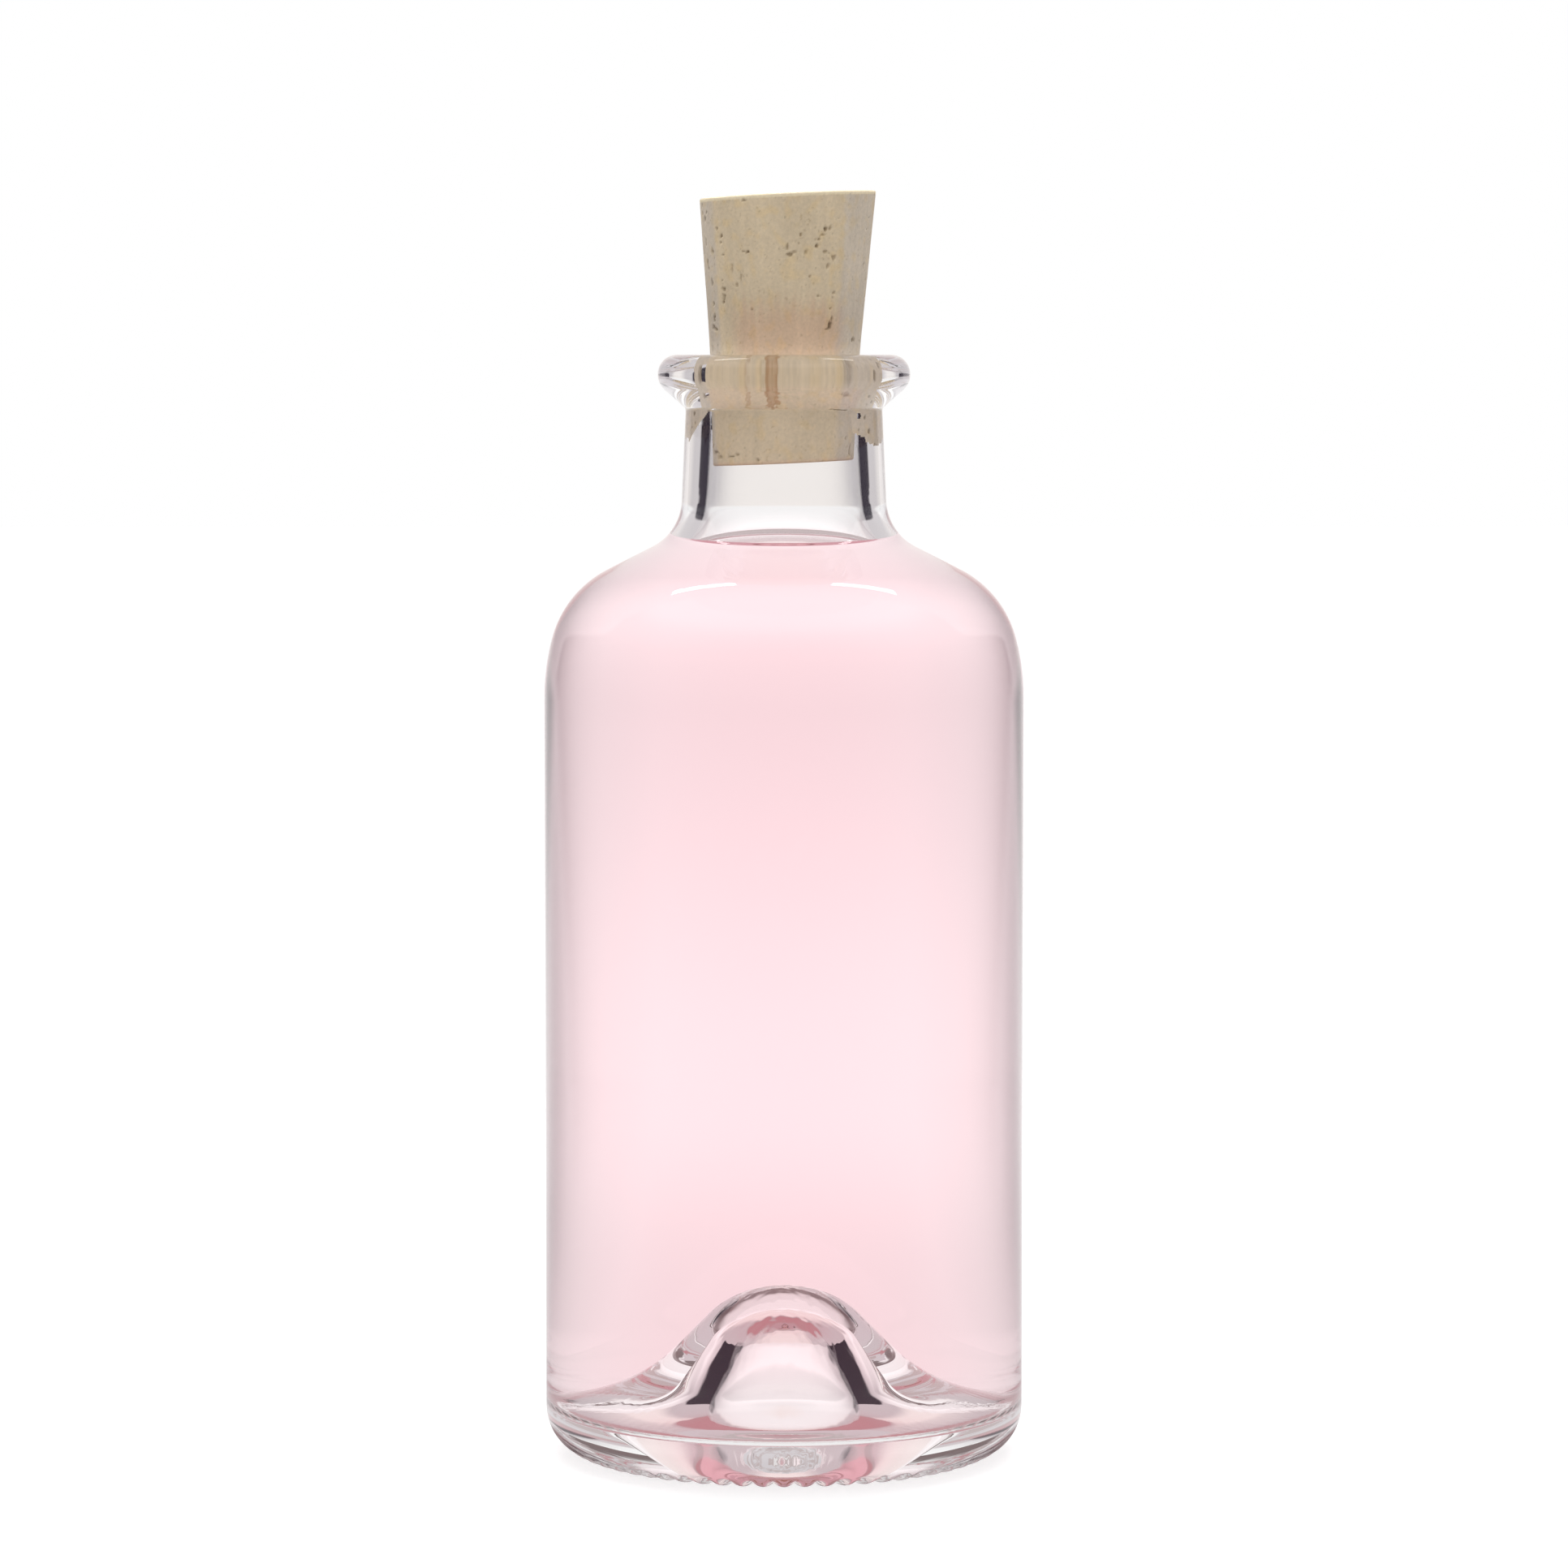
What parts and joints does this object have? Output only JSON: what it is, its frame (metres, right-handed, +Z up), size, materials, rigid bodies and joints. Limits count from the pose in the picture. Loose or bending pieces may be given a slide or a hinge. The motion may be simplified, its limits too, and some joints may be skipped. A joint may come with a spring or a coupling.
{
  "type": "apothecary bottle",
  "caption": "Clear glass apothecary bottle with a straight round body, short neck, rolled lip and deep punt, filled with pink liquid and closed by a tapered natural cork.",
  "frame": {"origin": "centre of the ring that the bottle stands on, on the surface it stands on", "axes": "+Z up along the bottle's axis, +X to the right as the pictured front is looked at, +Y away from the viewer"},
  "size_m": [0.0624, 0.0624, 0.165],
  "materials": {
    "clear_glass": "clear polished flint glass",
    "pink_liquid": "clear pale pink liquid",
    "natural_cork": "matt natural cork with fine pores"
  },
  "bodies": {
    "bottle": {"glass_bottle": "clear_glass", "liquid": "pink_liquid"},
    "stopper": {"cork_stopper": "natural_cork"}
  },
  "joints": [
    {"name": "stopper_lift", "type": "slide", "parent": "bottle", "child": "stopper", "axis": [0, 0, 1], "range_m": [0, 0.04]}
  ]
}
